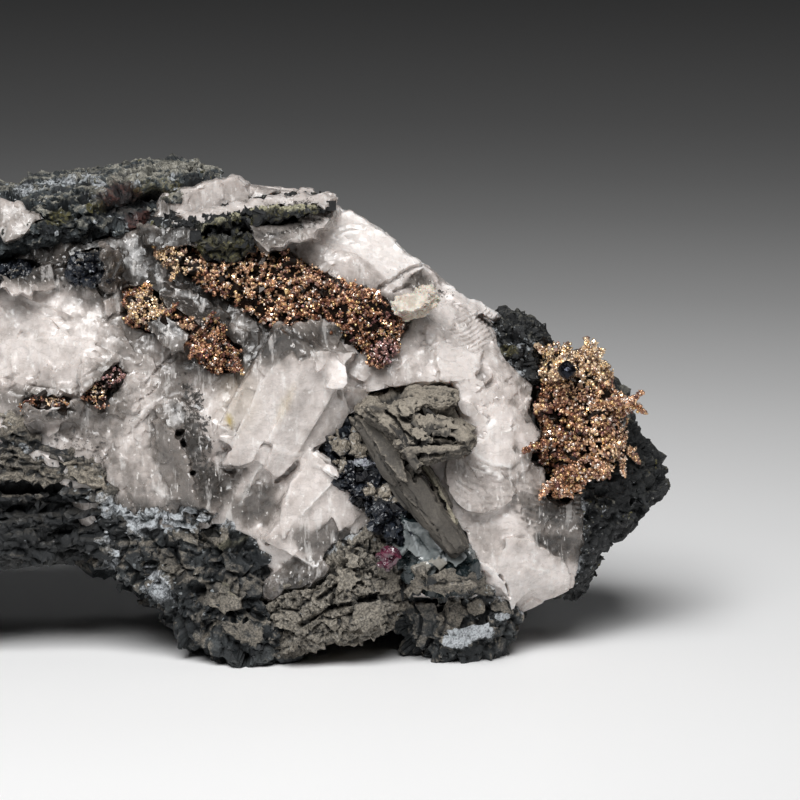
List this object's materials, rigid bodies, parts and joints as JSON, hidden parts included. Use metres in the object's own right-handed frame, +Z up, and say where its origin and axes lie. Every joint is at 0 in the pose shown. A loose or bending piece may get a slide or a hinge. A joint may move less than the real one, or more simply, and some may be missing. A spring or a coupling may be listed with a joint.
{
  "type": "mineral specimen",
  "caption": "Hand specimen of dendritic native silver grown on white calcite in dark wall rock, broken from a vein and resting on its own rough underside.",
  "frame": {"origin": "middle of the specimen's footprint box, on the surface that it rests on", "axes": "+X along the specimen, +Z up, -Y towards the show face"},
  "size_m": [0.0916, 0.034, 0.0476],
  "materials": {
    "calcite": "translucent white to pinkish-grey calcite, glassy cleavage faces",
    "cream_calcite": "chalky cream calcite",
    "wall_rock": "rough dark granular rock with beige dusting",
    "slate": "matt layered grey-beige slate with cracks",
    "sulphide": "glossy blue-black sulphide",
    "quartz": "glassy blue-grey quartz",
    "silver": "tarnished native silver, copper to gold, metallic grains",
    "ruby_silver": "dark purple-red, adamantine"
  },
  "bodies": {
    "root": {"calcite_vein": "calcite", "cream_calcite_flake": "cream_calcite", "wall_rock_ledge": "wall_rock", "wall_rock_knob": "wall_rock", "wall_rock_right": "wall_rock", "wall_rock_foot": "wall_rock", "wall_rock_breccia": "wall_rock", "wall_rock_base": "wall_rock", "wall_rock_left": "wall_rock", "wall_rock_crust": "wall_rock", "wall_rock_back": "wall_rock", "slate_wedge": "slate", "slate_flake": "slate", "sulphide_pocket": "sulphide", "sulphide_seam": "sulphide", "sulphide_patch_left": "sulphide", "sulphide_patch_far_left": "sulphide", "acanthite_bead": "sulphide", "grey_quartz": "quartz", "ruby_silver_crystal": "ruby_silver", "silver_spray_right": "silver", "silver_band_upper": "silver", "silver_tuft_left": "silver", "silver_fleck_near": "silver", "silver_fleck_far": "silver"}
  },
  "joints": []
}
